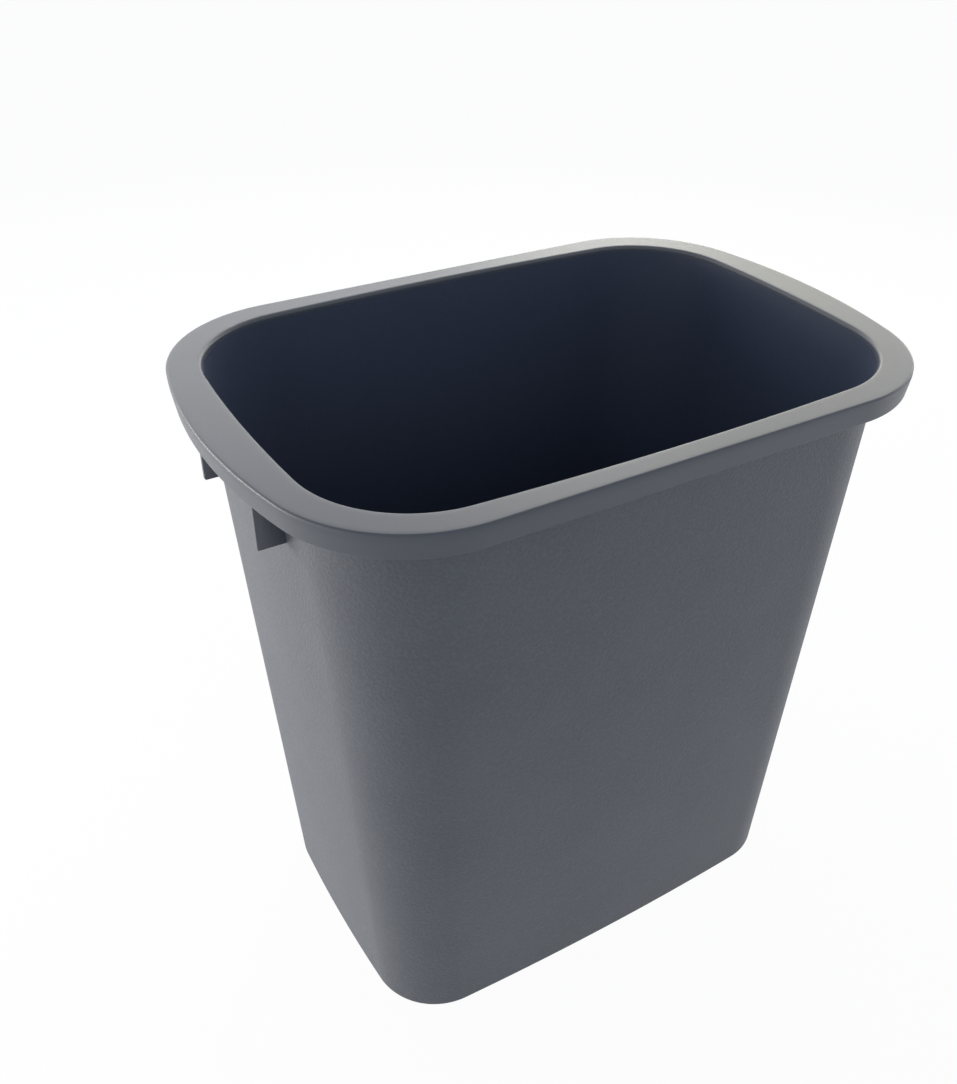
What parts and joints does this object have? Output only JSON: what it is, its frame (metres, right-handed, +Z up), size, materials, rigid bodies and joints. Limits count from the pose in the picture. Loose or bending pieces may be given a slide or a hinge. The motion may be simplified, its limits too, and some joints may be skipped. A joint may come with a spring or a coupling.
{
  "type": "wastebasket",
  "caption": "Tapered rectangular deskside wastebasket with rounded corners, an open mouth and a wide turned-down rim that widens into a grip at each end.",
  "frame": {"origin": "centre of the footprint, on the surface the basket stands on", "axes": "+X along the long side, +Y along the short side, +Z up through the mouth"},
  "size_m": [0.392, 0.268, 0.381],
  "materials": {
    "grained_plastic": "fine moulded grain",
    "satin_plastic": "satin",
    "polished_plastic": "smooth, semi-matt"
  },
  "bodies": {
    "root": {"foot_ring": "grained_plastic", "floor_pan": "polished_plastic", "wall_shell": "grained_plastic", "rim_flange": "satin_plastic", "rim_skirt": "satin_plastic", "stacking_lug_left_front": "satin_plastic", "stacking_lug_left_back": "satin_plastic", "stacking_lug_right_front": "satin_plastic", "stacking_lug_right_back": "satin_plastic"}
  },
  "joints": []
}
